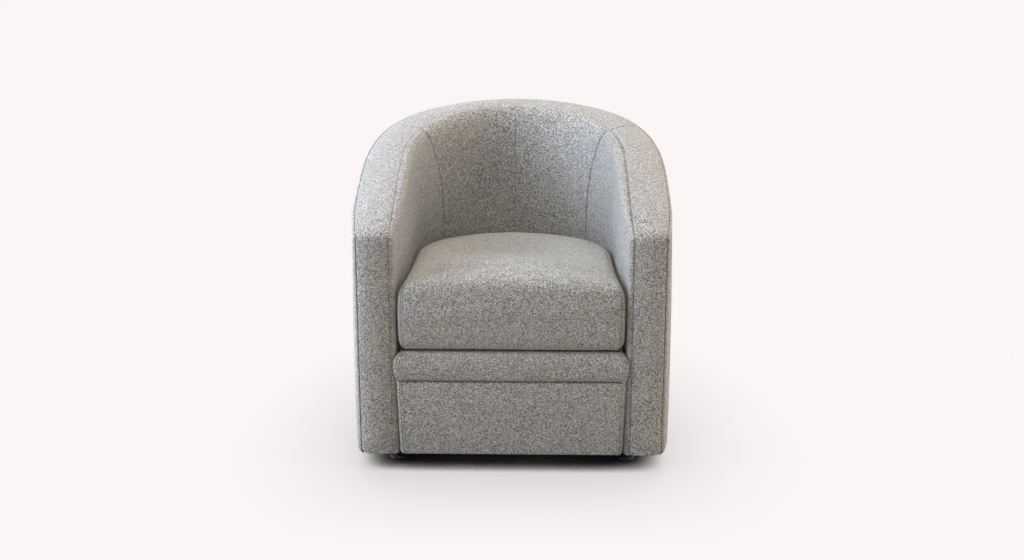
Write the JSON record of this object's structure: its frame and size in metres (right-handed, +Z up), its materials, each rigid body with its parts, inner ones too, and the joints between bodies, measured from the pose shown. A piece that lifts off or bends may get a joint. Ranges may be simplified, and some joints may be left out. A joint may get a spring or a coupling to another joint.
{
  "type": "swivel rocker",
  "caption": "Upholstered barrel armchair with sloping arms and a loose seat cushion, on a sprung rocker mechanism over a steel swivel base with floor glides.",
  "frame": {"origin": "on the floor, under the middle of the chair's bounding box; the swivel axis stands 40 mm in front of it, under the sitter", "axes": "+Z up, the chair faces -Y, +X is on the right in the picture"},
  "size_m": [0.779, 0.7854, 0.794],
  "materials": {
    "grey_upholstery": "heathered mid-grey woven upholstery, matt",
    "black_lining": "black non-woven lining cloth",
    "seat_foam": "cream polyurethane foam",
    "zip_tape": "dark grey zip",
    "frame_timber": "sawn pine and plywood, unfinished",
    "black_steel": "black powder-coated pressed steel",
    "zinc_steel": "zinc-plated steel",
    "black_rubber": "black moulded rubber",
    "black_glide": "black moulded floor glide",
    "bush_nylon": "natural nylon"
  },
  "bodies": {
    "base": {"leg_front_left": "black_steel", "leg_front_right": "black_steel", "leg_back_left": "black_steel", "leg_back_right": "black_steel", "glide_front_left": "black_glide", "glide_front_right": "black_glide", "glide_back_left": "black_glide", "glide_back_right": "black_glide", "hub_plate": "black_steel", "kingpin": "zinc_steel", "kingpin_nut": "zinc_steel"},
    "swivel": {"ball_ring": "zinc_steel", "rocker_yoke": "black_steel", "pivot_shaft": "zinc_steel", "bump_stop_front_left": "black_rubber", "bump_stop_front_right": "black_rubber", "bump_stop_back_left": "black_rubber", "bump_stop_back_right": "black_rubber", "coil_spring_front_left": "zinc_steel", "coil_spring_front_right": "zinc_steel", "coil_spring_back_left": "zinc_steel", "coil_spring_back_right": "zinc_steel"},
    "seat_body": {"rocker_bracket_left": "zinc_steel", "rocker_bracket_right": "zinc_steel", "pivot_bush_left": "bush_nylon", "pivot_bush_right": "bush_nylon", "mounting_rail_front": "frame_timber", "mounting_rail_back": "frame_timber", "bottom_ring": "frame_timber", "front_bottom_rail": "frame_timber", "front_seat_rail": "frame_timber", "back_seat_rail": "frame_timber", "side_seat_rail_left": "frame_timber", "side_seat_rail_right": "frame_timber", "arm_post_left": "frame_timber", "arm_post_right": "frame_timber", "back_post_left": "frame_timber", "back_post_right": "frame_timber", "arm_rail_left": "frame_timber", "arm_rail_right": "frame_timber", "top_rail": "frame_timber", "seat_spring_1": "zinc_steel", "seat_spring_2": "zinc_steel", "seat_spring_3": "zinc_steel", "seat_spring_4": "zinc_steel", "seat_deck": "black_lining", "front_border": "grey_upholstery", "dust_cover": "black_lining", "inside_arm_pad_left": "grey_upholstery", "inside_arm_pad_right": "grey_upholstery", "inside_back_pad": "grey_upholstery", "outside_arm_cover_left": "grey_upholstery", "outside_arm_cover_right": "grey_upholstery", "outside_back_cover": "grey_upholstery", "band_left": "grey_upholstery", "band_right": "grey_upholstery", "band_back": "grey_upholstery"},
    "cushion": {"cushion_cover": "grey_upholstery", "cushion_foam": "seat_foam", "cushion_zip": "zip_tape"}
  },
  "joints": [
    {"name": "swivel", "type": "hinge", "parent": "base", "child": "swivel", "pos_m": [0, -0.04, 0.05], "axis": [0, 0, 1], "continuous": true},
    {"name": "rock", "type": "hinge", "parent": "swivel", "child": "seat_body", "pos_m": [0, -0.04, 0.088], "axis": [1, 0, 0], "range_deg": [-4, 4], "stiffness_Nm_per_rad": 900, "deforming": ["coil_spring_front_left", "coil_spring_front_right", "coil_spring_back_left", "coil_spring_back_right"]},
    {"name": "cushion_lift", "type": "slide", "parent": "seat_body", "child": "cushion", "axis": [0, 0, 1], "range_m": [0, 0.3]}
  ]
}
